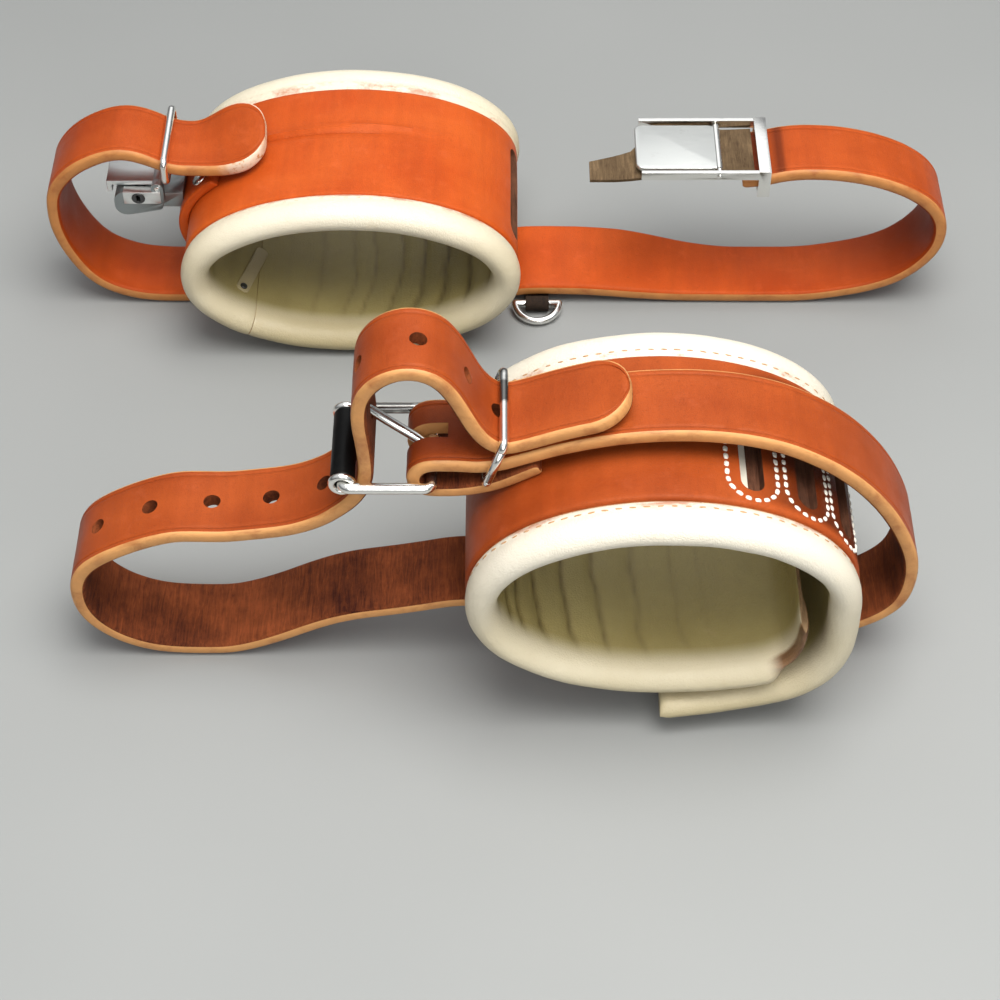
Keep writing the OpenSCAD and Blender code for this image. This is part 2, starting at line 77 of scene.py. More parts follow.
class Shade:
    """A node material, built from the shader backwards."""

    def __init__(self, name, **sockets):
        self.mat = bpy.data.materials.new(name)
        self.mat.use_nodes = True
        self.tree = self.mat.node_tree
        self.bsdf = self.tree.nodes["Principled BSDF"]
        for key, value in sockets.items():
            self.bsdf.inputs[key.replace("_", " ")].default_value = value
        self.coord = self.tree.nodes.new("ShaderNodeTexCoord").outputs["Object"]

    def node(self, kind, inputs=None, **settings):
        """A new node. Its inputs are numbers, vectors, colours or other nodes' outputs."""
        made = self.tree.nodes.new("ShaderNode" + kind)
        for key, value in settings.items():
            setattr(made, key, value)
        for key, value in (inputs or {}).items():
            self.feed(made.inputs[key], value)
        return made

    def feed(self, socket, value):
        """Links a socket, or sets its value. A colour has no alpha of its own."""
        if hasattr(value, "is_linked"):
            self.tree.links.new(value, socket)
        elif socket.type == "RGBA":
            socket.default_value = (*value, 1)
        else:
            socket.default_value = value

    def place(self, axis):
        """A coordinate of the shaded point in its own mesh, in millimetres."""
        split = self.node("SeparateXYZ", {"Vector": self.coord})
        return self.times(split.outputs[axis], 1 / MM)

    def fade(self, value, start, end):
        """0 at start, 1 at end and straight between them."""
        return self.math("MULTIPLY", self.math("SUBTRACT", value, start), 1 / (end - start), clamp=True)

    def hollow_shade(self, *stops):
        """A ramp over the mesh's own hollows, low in a crease, for painted shade there."""
        return self.ramp(self.node("NewGeometry").outputs["Pointiness"], *stops)

    def stretched(self, x, y, z):
        return self.node("Mapping", {"Vector": self.coord, "Scale": (x, y, z)}).outputs[0]

    def noise(self, scale, detail=4.0, rough=0.55, vector=None, distortion=0.0):
        return self.node("TexNoise", {
            "Vector": vector or self.coord, "Scale": scale, "Detail": detail,
            "Roughness": rough, "Distortion": distortion}).outputs["Fac"]

    def cells(self, scale):
        return self.node("TexVoronoi", {"Vector": self.coord, "Scale": scale},
                         feature="DISTANCE_TO_EDGE").outputs["Distance"]

    def ramp(self, fac, *stops):
        made = self.node("ValToRGB", {"Fac": fac})
        ramp = made.color_ramp
        while len(ramp.elements) < len(stops):
            ramp.elements.new(0.5)
        for element, (place, colour) in zip(ramp.elements, stops):
            element.position = place
            if not hasattr(colour, "__len__"):
                colour = (colour,) * 3
            element.color = (*colour, 1)
        return made.outputs[0]

    def mix(self, fac, a, b, blend="MIX"):
        made = self.node("Mix", data_type="RGBA", blend_type=blend)
        for i, value in ((0, fac), (6, a), (7, b)):
            self.feed(made.inputs[i], value)
        return made.outputs[2]

    def partly(self, share, fac, a, b):
        """Mixes b over a, by a share of a factor."""
        return self.mix(self.times(fac, share), a, b)

    def math(self, op, a, b=0.0, clamp=False):
        return self.node("Math", {0: a, 1: b}, operation=op, use_clamp=clamp).outputs[0]

    def times(self, a, b):
        return self.math("MULTIPLY", a, b)

    def attribute(self, name):
        return self.node("Attribute", attribute_name=name).outputs["Fac"]

    def bump(self, height, distance, strength=1.0, normal=None):
        inputs = {"Height": height, "Distance": distance, "Strength": strength}
        if normal is not None:
            inputs["Normal"] = normal
        return self.node("Bump", inputs).outputs[0]

    def done(self, colour=None, roughness=None, normal=None):
        for key, value in (("Base Color", colour), ("Roughness", roughness), ("Normal", normal)):
            if value is not None:
                self.tree.links.new(value, self.bsdf.inputs[key])
        return self.mat


def scaled(colour, by, plus=0.0):
    return tuple(min(1, c * by + plus) for c in colour)


def grain_leather(name, light, deep, slot_shade=False):
    """Smooth oiled strap leather: fine pores and mottled dye, with painted shade in its hollows and where
    the attribute painted_shade is set. With slot_shade, painted shade lies round the front cuff's outer
    slots too."""
    m = Shade(name, Specular_IOR_Level=0.24, Specular_Tint=(1.0, 0.62, 0.42, 1), Coat_Weight=0.03,
              Coat_Roughness=0.28)
    cloud = m.noise(28, 5, 0.6)
    long = m.noise(9, 3, 0.5, m.stretched(1, 6, 1))
    both = m.math("ADD", m.times(cloud, 0.6), m.times(long, 0.4))
    dye = m.ramp(both, (0.32, deep), (0.62, light))
    streak = m.ramp(m.noise(17, 6, 0.68, m.stretched(12, 1.3, 12)), (0.34, 0.91), (0.64, 1.05))
    dye = m.mix(1.0, dye, streak, "MULTIPLY")
    worn = m.ramp(m.noise(160, 6, 0.7), (0.56, 0.0), (0.78, 1.0))
    dye = m.partly(0.35, worn, dye, scaled(light, 1.22, 0.02))
    pores = m.cells(1500)
    pits = m.ramp(m.noise(2300, 2, 0.5), (0.28, 0.0), (0.42, 1.0))
    dye = m.partly(0.35, m.math("SUBTRACT", 1.0, pits), dye, scaled(deep, 0.45))
    # Painted shade wherever the point attribute asks for it: in the rear strap's loops, at the clamp's end
    # bar and in the clamp.
    dye = m.mix(m.attribute("painted_shade"), dye, scaled(deep, 0.4))
    if slot_shade:
        # Painted shade under the strap, round the front cuff's outer slots.
        right = m.fade(m.place("X"), *SLOT_SHADE_X)
        off_middle = m.math("ABSOLUTE", m.math("SUBTRACT", m.place("Y"), FRONT_Y))
        band = m.fade(off_middle, *SLOT_SHADE_OFF_MIDDLE)
        patchy = m.ramp(cloud, (0.3, 0.95), (0.7, 0.72))
        amount = m.times(m.times(right, band), patchy)
        dye = m.mix(amount, dye, scaled(deep, 0.24))
    # Painted shade in the leather's hollows.
    dye = m.mix(1.0, dye, m.hollow_shade((0.40, 0.45), (0.49, 1.0)), "MULTIPLY")
    gloss = m.ramp(m.noise(70, 4, 0.6), (0.3, 0.36), (0.7, 0.55))
    fine = m.bump(m.ramp(pores, (0.0, 0.0), (0.12, 1.0)), 0.00006, 0.6)
    soft = m.bump(m.noise(240, 5, 0.6), 0.0003, 0.45, fine)
    return m.done(dye, gloss, m.bump(pits, 0.00008, 0.5, soft))


def cut_edge(name, light, deep):
    """The cut and burnished edge of thick leather, with its layers along the strap."""
    m = Shade(name, Specular_IOR_Level=0.4)
    layers = m.noise(60, 6, 0.65, m.stretched(2, 14, 2), 0.4)
    blotch = m.noise(120, 5, 0.6)
    colour = m.ramp(m.math("ADD", m.times(layers, 0.55), m.times(blotch, 0.45)),
                    (0.3, deep), (0.5, light), (0.72, scaled(light, 1.25)))
    torn = m.ramp(m.noise(520, 5, 0.7), (0.36, 0.0), (0.48, 1.0))
    colour = m.mix(m.times(torn, m.attribute("frayed")), colour, (0.72, 0.60, 0.47))
    rough = m.ramp(blotch, (0.3, 0.42), (0.7, 0.68))
    return m.done(colour, rough, m.bump(m.noise(700, 5, 0.65, m.stretched(1, 2.5, 1)), 0.0002, 0.5))


def flesh_side(name, light, deep):
    """The unfinished back of leather: short brown fibres across the strap."""
    m = Shade(name, Specular_IOR_Level=0.15)
    fibres = m.noise(30, 9, 0.75, m.stretched(34, 3.2, 34), 0.9)
    patch = m.noise(34, 6, 0.65)
    both = m.math("ADD", m.times(fibres, 0.45), m.times(patch, 0.55))
    colour = m.ramp(both, (0.38, deep), (0.5, light), (0.62, scaled(light, 1.9)))
    rough = m.ramp(fibres, (0.3, 0.72), (0.7, 0.95))
    nap = m.bump(m.noise(900, 4, 0.7), 0.0002, 0.5)
    return m.done(colour, rough, m.bump(fibres, 0.0006, 0.7, nap))


def lining_leather(name):
    """Soft cream lining leather. The attribute "inside" is 1 on the inner face, painted darker as shade,
    "fold" in its creases, painted darker as shade, "seam" along the rims' stitches and "bare" where the
    padding has ended."""
    m = Shade(name, Specular_IOR_Level=0.55)
    inside = m.attribute("inside")
    cloud = m.noise(22, 5, 0.6)
    outer = m.ramp(cloud, (0.3, (0.57, 0.485, 0.315)), (0.7, (0.68, 0.605, 0.435)))
    # The inner face is coloured far darker than the rims: painted shade inside the ring, on a yellower
    # cream.
    inner = m.ramp(m.noise(15, 6, 0.62), (0.3, (0.24, 0.182, 0.052)), (0.7, (0.40, 0.325, 0.125)))
    colour = m.mix(inside, outer, inner)
    rim, height = m.math("SUBTRACT", 1.0, inside), m.place("Z")
    # Painted shade low on the rims, painted light high on them.
    colour = m.mix(m.times(m.fade(height, *LOW_SHADE_Z), rim), colour, (0.42, 0.345, 0.19))
    colour = m.mix(m.times(m.fade(height, *HIGH_LIGHT_Z), rim), colour, (0.70, 0.645, 0.53))
    # Painted shade in the creases of the lining's folds.
    colour = m.partly(0.72, m.attribute("fold"), colour, (0.11, 0.078, 0.025))
    hide = m.ramp(m.noise(60, 6, 0.7, m.stretched(1, 8, 1)), (0.35, (0.10, 0.045, 0.018)),
                  (0.65, (0.27, 0.14, 0.06)))
    colour = m.mix(m.attribute("bare"), colour, hide)
    soil = m.ramp(m.noise(95, 6, 0.72), (0.60, 0.0), (0.76, 1.0))
    colour = m.partly(0.28, soil, colour, (0.50, 0.36, 0.18))
    rubbed = m.ramp(m.noise(85, 6, 0.72, m.stretched(0.6, 1, 1)), (0.50, 0.0), (0.60, 1.0))
    rubbed = m.times(rubbed, m.attribute("seam"))
    colour = m.mix(rubbed, colour, (0.42, 0.13, 0.05))
    # Painted shade, yellowish, in the lining's hollows.
    colour = m.mix(1.0, colour, m.hollow_shade((0.42, (0.62, 0.52, 0.36)), (0.495, 1.0)), "MULTIPLY")
    rough = m.ramp(m.noise(60, 4, 0.6), (0.3, 0.36), (0.7, 0.5))
    cells = m.ramp(m.cells(1050), (0.0, 0.0), (0.14, 1.0))
    grain = m.bump(cells, 0.00012, 0.5)
    soft = m.bump(m.noise(300, 5, 0.6), 0.0005, 0.35, grain)
    fine_folds = m.noise(40, 3, 0.5, m.stretched(5, 1, 5), 0.6)
    small = m.times(fine_folds, m.math("ADD", 0.15, inside))
    return m.done(colour, rough, m.bump(small, 0.0009, 0.45, soft))


def plated(name, colour, rough, brushed=0.0):
    """Plated metal with rubbed spots and hairline scratches."""
    m = Shade(name, Metallic=1.0)
    spots = m.ramp(m.noise(220, 6, 0.7), (0.60, 0.0), (0.80, 1.0))
    tone = m.partly(0.45, spots, colour, (0.32, 0.30, 0.27))
    scratch = m.noise(90, 6, 0.7, m.stretched(3, 9, 3))
    fac = m.ramp(scratch, (0.3, rough), (0.7, rough + 0.14 + brushed))
    return m.done(tone, fac, m.bump(scratch, 0.00005, 0.3 + brushed))


def darker_far_wire(name):
    """Nickel wire, darker in patches that grow towards its far side."""
    m = Shade(name, Metallic=1.0)
    beyond = m.math("SUBTRACT", m.place("Y"), FRONT_Y)
    patch = m.math("ADD", m.noise(75, 3, 0.5), m.times(beyond, FAR_DARKENING_PER_MM))
    dark = m.ramp(patch, (0.50, 0.0), (0.60, 0.82))
    scratch = m.noise(90, 6, 0.7, m.stretched(3, 9, 3))
    return m.done(m.mix(dark, (0.90, 0.89, 0.85), (0.035, 0.03, 0.027)),
                  m.ramp(scratch, (0.3, 0.12), (0.7, 0.26)), m.bump(scratch, 0.00005, 0.3))


def blacked(name):
    """Blacked steel, worn a little."""
    m = Shade(name, Specular_IOR_Level=0.1)
    worn = m.ramp(m.noise(260, 5, 0.7), (0.58, 0.0), (0.8, 1.0))
    colour = m.partly(0.5, worn, (0.003, 0.003, 0.003), (0.018, 0.017, 0.016))
    return m.done(colour, m.ramp(m.noise(120), (0.3, 0.3), (0.7, 0.5)),
                  m.bump(m.noise(500, 4, 0.6), 0.0001, 0.4))


def thread(name, colour):
    """Waxed sewing thread with its twist."""
    m = Shade(name, Specular_IOR_Level=0.3, Sheen_Weight=0.2)
    twist = m.noise(1500, 3, 0.6, m.stretched(1, 2, 1))
    tone = m.ramp(twist, (0.3, scaled(colour, 0.6)), (0.6, colour))
    return m.done(tone, m.ramp(twist, (0.3, 0.6), (0.7, 0.85)), m.bump(twist, 0.0002, 0.7))


FRONT_DYE = (0.355, 0.064, 0.0115), (0.235, 0.033, 0.005)
FRONT_GRAIN = grain_leather("front_grain", *FRONT_DYE)
# The front body's leather has painted shade round its outer slots.
FRONT_BODY_GRAIN = grain_leather("front_body_grain", *FRONT_DYE, slot_shade=True)
REAR_GRAIN = grain_leather("rear_grain", (0.51, 0.088, 0.0125), (0.40, 0.048, 0.004))
REAR_STRAP_GRAIN = grain_leather("rear_strap_grain", (0.43, 0.073, 0.011), (0.31, 0.041, 0.0045))
FRONT_EDGE = cut_edge("front_cut_edge", (0.56, 0.265, 0.088), (0.32, 0.10, 0.028))
REAR_EDGE = cut_edge("rear_cut_edge", (0.46, 0.185, 0.05), (0.30, 0.075, 0.016))
FLESH = flesh_side("flesh_side", (0.165, 0.040, 0.012), (0.045, 0.009, 0.004))
REAR_FLESH = grain_leather("rear_inner_face", (0.55, 0.085, 0.010), (0.38, 0.042, 0.003))
DARK_FLESH = flesh_side("dark_flesh", (0.085, 0.034, 0.018), (0.022, 0.009, 0.005))
# Near black, as dark as the shade under the strap where the D-ring's chape lies: painted shade.
CHAPE_BLACK = flesh_side("chape_black", (0.030, 0.019, 0.013), (0.011, 0.007, 0.005))
TAB_BROWN = flesh_side("tab_brown", (0.13, 0.085, 0.045), (0.06, 0.036, 0.018))
LINING = lining_leather("cream_lining")
LINING_END = flesh_side("lining_end", (0.30, 0.19, 0.10), (0.16, 0.085, 0.04))
NICKEL = plated("nickel", (0.90, 0.89, 0.85), 0.12)
WIRE = darker_far_wire("nickel_wire_darker_far")
SATIN = plated("satin_steel", (0.34, 0.37, 0.37), 0.34, 0.04)
DARK_STEEL = plated("dark_steel", (0.10, 0.10, 0.10), 0.35)
BRIGHT = plated("bright_plate", (0.86, 0.87, 0.85), 0.30, 0.02)
CLAMP_PLATE = plated("clamp_plate", (0.70, 0.71, 0.685), 0.33, 0.02)
BLACK = blacked("black_roller")
SLOT_THREAD = thread("slot_thread", (0.90, 0.84, 0.72))
RIM_THREAD = thread("rim_thread", (0.50, 0.27, 0.12))
FAINT_THREAD = thread("faint_thread", (0.66, 0.55, 0.38))


# ---- Lines ------------------------------------------------------------

def smooth(points):
    """A smooth curve through points, as in the part's source but finer."""
    p = np.array(points, float)
    p = np.vstack([p[:1], p, p[-1:]])
    u = np.linspace(0, 1, 8, endpoint=False)[:, None]
    out = []
    for i in range(1, len(p) - 2):
        a, b, c, d = p[i - 1:i + 3]
        out.append(0.5 * (2 * b + (c - a) * u + (2 * a - 5 * b + 4 * c - d) * u ** 2
                          + (3 * b - a - 3 * c + d) * u ** 3))
    return np.vstack(out + [p[-1:]])


def ellipse(c, r, start, end, step=2.0):
    """Points of an ellipse in X and Z, from one angle to another, in degrees."""
    t = np.radians(np.linspace(start, end, max(2, int(abs(end - start) / step) + 1)))
    return np.stack([c[0] + r[0] * np.cos(t), c[1] + r[1] * np.sin(t)], 1)


def lengths(line):
    """How far along a line each of its points is."""
    return np.concatenate([[0], np.cumsum(np.linalg.norm(np.diff(line, axis=0), axis=1))])


def points_at(line, s):
    """Points of a line at lengths along it."""
    cum = lengths(line)
    return np.stack([np.interp(s, cum, line[:, k]) for k in (0, 1)], 1)


def even(line, step):
    """The same line with its points evenly spaced and its small corners eased."""
    s = lengths(line)
    keep = np.concatenate([[True], np.diff(s) > 1e-6])
    s, line = s[keep], line[keep]
    at = np.linspace(0, s[-1], int(round(s[-1] / step)) + 1)
    out = np.stack([np.interp(at, s, line[:, k]) for k in (0, 1)], 1)
    for _ in range(2):
        out[1:-1] = 0.25 * out[:-2] + 0.5 * out[1:-1] + 0.25 * out[2:]
    return out


def sides(line):
    """Unit vectors to the left of the way along a line."""
    d = np.gradient(line, axis=0)
    d /= np.linalg.norm(d, axis=1)[:, None]
    return np.stack([-d[:, 1], d[:, 0]], 1)


def at_length(line, s):
    """Point, unit heading and left normal at a length along a line."""
    back, p, on = points_at(line, [s - 0.8, s, s + 0.8])
    d = (on - back) / np.linalg.norm(on - back)
    return p, d, np.array([-d[1], d[0]])


def smoothstep(t):
    """0 to 1 with no corner at either end."""
    t = np.clip(t, 0, 1)
    return t * t * (3 - 2 * t)


def rounding(t):
    """1 at t = 0 and 0 from t = 1 on, as a quarter of a circle."""
    return 1 - np.sqrt(1 - (1 - np.clip(t, 0, 1)) ** 2)


def nearest(line, p):
    """How far along a line its point nearest to p is."""
    return lengths(line)[int(np.argmin(np.linalg.norm(line - np.array(p), axis=1)))]


# ---- Meshes -----------------------------------------------------------

def new_piece(name, mesh):
    piece = bpy.data.objects.new(name, mesh)
    bpy.context.scene.collection.objects.link(piece)
    return piece


def shade_smooth(mesh, sharp=None):
    """Smooth shading, apart from edges sharper than an angle in degrees."""
    mesh.polygons.foreach_set("use_smooth", [True] * len(mesh.polygons))
    if sharp:
        mesh.set_sharp_from_angle(angle=math.radians(sharp))


def from_bmesh(name, bm, mat, sharp=None):
    mesh = bpy.data.meshes.new(name)
    bm.to_mesh(mesh)
    bm.free()
    mesh.materials.append(mat)
    shade_smooth(mesh, sharp)
    return new_piece(name, mesh)


def mesh_piece(name, verts, faces, mats, face_mats=None):
    """An object from points in millimetres."""
    mesh = bpy.data.meshes.new(name)
    mesh.from_pydata([tuple(v) for v in np.asarray(verts, float) * MM], [], faces)
    for m in mats:
        mesh.materials.append(m)
    if face_mats is not None:
        mesh.polygons.foreach_set("material_index", list(face_mats))
    shade_smooth(mesh)
    mesh.update()
    return new_piece(name, mesh)


def assign(piece, body, slot, *nodes):
    """Gives a piece its body and hides the CAD nodes that it stands in for.
    slot is not used.
    """
    if nodes:
        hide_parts(*nodes)
    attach(piece, body)


def set_values(piece, name, values):
    """One number for each point of a piece, for its material to read."""
    made = piece.data.attributes.new(name, "FLOAT", "POINT")
    made.data.foreach_set("value", np.asarray(values, np.float32).ravel())


def sweep(name, line, y0, section, mats, cap_mats, move=None, narrower=None):
    """Sweeps a closed section of (y, out, material) along a line in X and Z.
    narrower(s) is what each side loses, and move changes (s, y, out)."""
    cum, left = lengths(line), sides(line)
    n, k = len(line), len(section)
    s = np.repeat(cum[:, None], k, 1)
    y, out = (np.tile(np.array([p[i] for p in section], float), (n, 1)) for i in (0, 1))
    if narrower is not None:
        y = np.sign(y) * np.maximum(np.abs(y) - narrower(s), 0.02 * np.abs(y))
    if move is not None:
        y, out = move(s, y, out)
    x = line[:, 0][:, None] + left[:, 0][:, None] * out
    z = line[:, 1][:, None] + left[:, 1][:, None] * out
    verts = np.stack([x, y0 + y, z], 2).reshape(-1, 3)
    faces, face_mats = [], []
    for i in range(n - 1):
        for j in range(k):
            j2 = (j + 1) % k
            faces.append((i * k + j, (i + 1) * k + j, (i + 1) * k + j2, i * k + j2))
            face_mats.append(section[j][2])
    faces.append(tuple(range(k)))
    faces.append(tuple((n - 1) * k + j for j in reversed(range(k))))
    face_mats += list(cap_mats)
    piece = mesh_piece(name, verts, faces, mats, face_mats)
    face_outwards(piece)
    return piece


def face_outwards(piece):
    bm = bmesh.new()
    bm.from_mesh(piece.data)
    bmesh.ops.recalc_face_normals(bm, faces=bm.faces)
    if bm.calc_volume(signed=True) < 0:
        bmesh.ops.reverse_faces(bm, faces=bm.faces)
    bm.to_mesh(piece.data)
    bm.free()


def apply_modifiers(piece):
    """Replaces a piece's mesh by what its modifiers make of it."""
    dg = bpy.context.evaluated_depsgraph_get()
    mesh = bpy.data.meshes.new_from_object(piece.evaluated_get(dg))
    piece.modifiers.clear()
    old, piece.data = piece.data, mesh
    bpy.data.meshes.remove(old)


def cut(piece, cutters):
    """Cuts the cutters out of a piece, then removes them. A cutter's material lines the cut."""
    for cutter in cutters:
        mod = piece.modifiers.new("cut", "BOOLEAN")
        mod.object, mod.operation, mod.solver = cutter, "DIFFERENCE", "EXACT"
        mod.material_mode = "TRANSFER"
    apply_modifiers(piece)
    for cutter in cutters:
        bpy.data.objects.remove(cutter)
    shade_smooth(piece.data, 42)


def frame_matrix(p, d, n, y):
    """Local X along the way, local Z outwards, local Y across, at a point of a line."""
    x = Vector((d[0], 0, d[1]))
    z = Vector((n[0], 0, n[1]))
    m = Matrix((x, z.cross(x), z)).transposed().to_4x4()
    m.translation = Vector((p[0], y, p[1])) * MM
    return m


def flat_at(x, y, z):
    return Matrix.Translation(Vector((x, y, z)) * MM)


def prism_cutter(outline, low, high, matrix, mat):
    """A prism of an outline of local (x, y) in millimetres, as a cutter."""
    k = len(outline)
    verts = [(x, y, z) for z in (low, high) for x, y in outline]
    faces = [tuple(reversed(range(k))), tuple(range(k, 2 * k))]
    faces += [(j, (j + 1) % k, k + (j + 1) % k, k + j) for j in range(k)]
    piece = mesh_piece("cutter", verts, faces, [mat])
    piece.matrix_world = matrix
    return piece


def on_circle(r, degrees):
    return r * math.cos(math.radians(degrees)), r * math.sin(math.radians(degrees))


def circle(r):
    return [on_circle(r, 360 * i / 28) for i in range(28)]


def stadium(length, width, count=14):
    """Outline, long along local y."""
    flat = (length - width) / 2
    turn = [on_circle(width / 2, 180 * i / count) for i in range(count + 1)]
    top = [(x, y + flat) for x, y in turn]
    return top + [(-x, -y) for x, y in top]


def rounded(x0, x1, y0, y1, r):
    """Outline of a rectangle with rounded corners."""
    centres = ((x1 - r, y1 - r), (x0 + r, y1 - r), (x0 + r, y0 + r), (x1 - r, y0 + r))
    out = []
    for quarter, (cx, cy) in enumerate(centres):
        turn = [on_circle(r, 90 * quarter + 15 * i) for i in range(7)]
        out += [(cx + x, cy + y) for x, y in turn]
    return out


def stitches(name, places, length, wide, thick, mat):
    """One mesh of short sewn stitches, each at (point, way, outward), in millimetres."""
    ring, along = 8, 5
    base, faces = [], []
    for i in range(along + 1):
        t = -1 + 2 * i / along
        bulge = max(0.6, (1 - abs(t) ** 6)) ** 0.5
        for j in range(ring):
            y, z = on_circle(bulge / 2, 360 * j / ring)
            base.append((t * length / 2, y * wide, z * thick - 0.25 * thick * t * t))
    for i in range(along):
        for j in range(ring):
            faces.append((i * ring + j, i * ring + (j + 1) % ring,
                          (i + 1) * ring + (j + 1) % ring, (i + 1) * ring + j))
    faces += [tuple(reversed(range(ring))), tuple(along * ring + j for j in range(ring))]
    rnd = random.Random(11)
    verts, all_faces = [], []
    for p, d, n in places:
        d, n = Vector(d).normalized(), Vector(n).normalized()
        turn = Matrix.Rotation(rnd.uniform(-0.10, 0.10), 3, n)
        d = turn @ d
        side = n.cross(d)
        grow = rnd.uniform(0.88, 1.1)
        k = len(verts)
        for x, y, z in base:
            verts.append(Vector(p) + d * x * grow + side * y + n * z)
        all_faces += [tuple(k + f for f in face) for face in faces]
    return mesh_piece(name, verts, all_faces, [mat])


def wobble(s, y, scale, seed):
    """Smooth noise over a swept surface, about -1 to 1."""
    places = zip(s.ravel() * scale, y.ravel() * scale)
    return np.array([noise.noise(Vector((a, b, seed))) for a, b in places]).reshape(s.shape)


# ---- Straps -----------------------------------------------------------

STRAP_W, STRAP_T = 25.4, 4.4
HALF_W, HALF_T = STRAP_W / 2, STRAP_T / 2
STRAP_STEP, CUFF_STEP = 1.3, 1.15       # between the sections of a strap and of the padding
CREASE = 0.3                            # the depth of the line along each edge


def strap_section():
    """Rounded edges and a creased line along each edge of the grain side.
    A point is (in from the edge, share of the half thickness, material)."""
    grain, edge, inner = 0, 1, 2
    top = [(0.05, 0.35, edge), (0.22, 0.62, edge), (0.6, 0.85, edge), (1.15, 0.965, grain),
           (1.8, 1.0, grain), (2.25, 1.0, grain), (2.6, 1 - CREASE / HALF_T, grain),
           (2.95, 1.0, grain), (4.0, 1.0, grain), (7.0, 1.0, grain), (10.0, 1.0, grain)]
    low = [(0.05, -0.35), (0.28, -0.68), (0.75, -0.92), (1.5, -1.0), (4.0, -1.0), (8.0, -1.0)]
    section = [(-(HALF_W - a), b * HALF_T, m) for a, b, m in top]
    section += [(0.0, HALF_T, grain)]
    # a face takes the material of the point where it starts
    section += [(HALF_W - a, b * HALF_T, grain if i < len(top) - 4 else edge)
                for i, (a, b, m) in enumerate(reversed(top))]
    section += [(HALF_W - a, b * HALF_T, edge if i < 2 else inner) for i, (a, b) in enumerate(low)]
    section += [(0.0, -HALF_T, inner)]
    section += [(-(HALF_W - a), b * HALF_T, inner if i < len(low) - 2 else edge)
                for i, (a, b) in enumerate(reversed(low))]
    return section


def rounded_end(total, r):
    """How much narrower each side of a strap is near its rounded far end."""
    def narrower(s):
        within = np.clip(r - (total - s), 0, r)
        return r - np.sqrt(np.maximum(r * r - within ** 2, 0))
    return narrower


# Each strap's way in X and Z, as in the part's source: listed points, and an arc where
# the front strap folds round the buckle's bar.
bar_pos = np.array([-19, 79.5])
fold = np.array([bar_pos + on_circle(5.2, t) for t in range(270, 89, -15)])
turned_end = [[11, 84], [5.5, 80.7], [0, 77.5], [-6, 75.4], [-12, 74.4]]
front_over = [
    [-12, 84.6], [-6, 84.1], [0, 85], [6, 87.3], [11, 89.3], [16, 91.2], [27, 94.3], [38, 96.2],
    [50, 96.8], [60, 96.3], [70, 94.6], [80, 91.2], [90, 85.5], [98, 79.2], [105, 71.8],
    [111, 63.5], [116, 54], [119.5, 44], [120.3, 34], [118.5, 25], [113.5, 18.6], [106, 13.6],
    [97, 9.2], [88, 5.4], [79, 3], [70, 2.2], [60, 2.2], [52, 2.4], [45, 4.4], [38, 7.8],
    [30, 11], [22, 13.5], [14, 16.6], [8, 19.6], [2, 22.7], [-4, 24.7], [-10, 25.3],
    [-16, 24.7], [-24, 22.8], [-33, 20.8], [-42, 19], [-50, 16.5], [-58, 12.8], [-66, 8.6],
    [-74, 5], [-82, 2.6], [-90, 2.2], [-98, 2.5], [-104, 3.4], [-110, 5.6], [-116, 9.4],
    [-121.3, 15.2], [-124.2, 21.5], [-125, 28], [-124.2, 34], [-121.5, 39.5], [-117, 43.8],
    [-111, 47.6], [-104, 51], [-98, 53.2], [-92, 54.4], [-80, 54.4], [-72, 55.4], [-63, 56.9],
    [-57, 58.7], [-51, 61.7], [-46, 65.6], [-41.6, 70.2], [-38.6, 75.6], [-37.3, 82],
    [-37.6, 92], [-38.3, 100], [-38.1, 107], [-36.5, 112.6], [-33, 117.2], [-28.5, 119.9],
    [-24, 120.6], [-19.8, 119.6], [-16, 116.8], [-12.8, 112], [-10, 105.8], [-7.4, 99.8],
    [-4.2, 94.8], [0, 91.8], [5, 92.6], [11, 94.9], [16, 96.9], [22, 98.9], [27, 100.4],
    [36, 103.8]]
rear_path = [
    [-78, 66], [-86, 64.2], [-94, 61.2], [-101, 59.4], [-107, 59.4], [-112, 61], [-118, 64],
    [-124, 65.8], [-130.3, 65.2], [-137, 62.4], [-142.5, 58.8], [-147, 54], [-150, 48.6],
    [-151, 42], [-150.8, 34], [-148.8, 25.7], [-145.2, 17.4], [-141, 11.3], [-135.5, 6.9],
    [-127, 3.5], [-118, 2.3], [-110, 2.2], [-80, 2.2], [-40, 2.2], [-10, 2.2], [0, 3.2],
    [7, 4.9], [13, 5.3], [20, 5.3], [28, 5.1], [37, 4.4], [49, 3.2], [63, 2.3], [77, 2.2],
    [92, 2.2], [106, 2.4], [118, 4.2], [129, 7], [138, 11.2], [145, 17.6], [149.3, 25],
    [150.3, 32], [148.8, 38.5], [144.5, 44.3], [138, 49], [131, 52.3], [123, 55], [113, 57],
    [102, 57.6], [94, 56.6], [88, 54.9], [81, 54]]


def laid(line):
    """A line that never dips into the floor."""
    line = line.copy()
    line[:, 1] = np.maximum(line[:, 1], HALF_T)
    return line


def with_fine_ends(line, step):
    """Evenly spaced points, and closer ones where a rounded end needs them."""
    line = even(line, step)
    cum = lengths(line)
    total = cum[-1]
    bend = np.array([0, 0.08, 0.25, 0.5, 0.85, 1.3, 2.0, 2.9, 4.0, 5.4, 7.0, 9.0, 11.0])
    at = np.concatenate([bend, cum[(cum > 12) & (cum < total - 12)], total - bend[::-1]])
    return points_at(line, at)


to_the_bar = smooth(turned_end + [list(fold[0])])
on_from_the_bar = laid(smooth([list(fold[-1])] + front_over))
front_line = with_fine_ends(np.vstack([to_the_bar, fold[1:-1], on_from_the_bar]), STRAP_STEP)
rear_line = with_fine_ends(laid(smooth(rear_path))[::-1], STRAP_STEP)

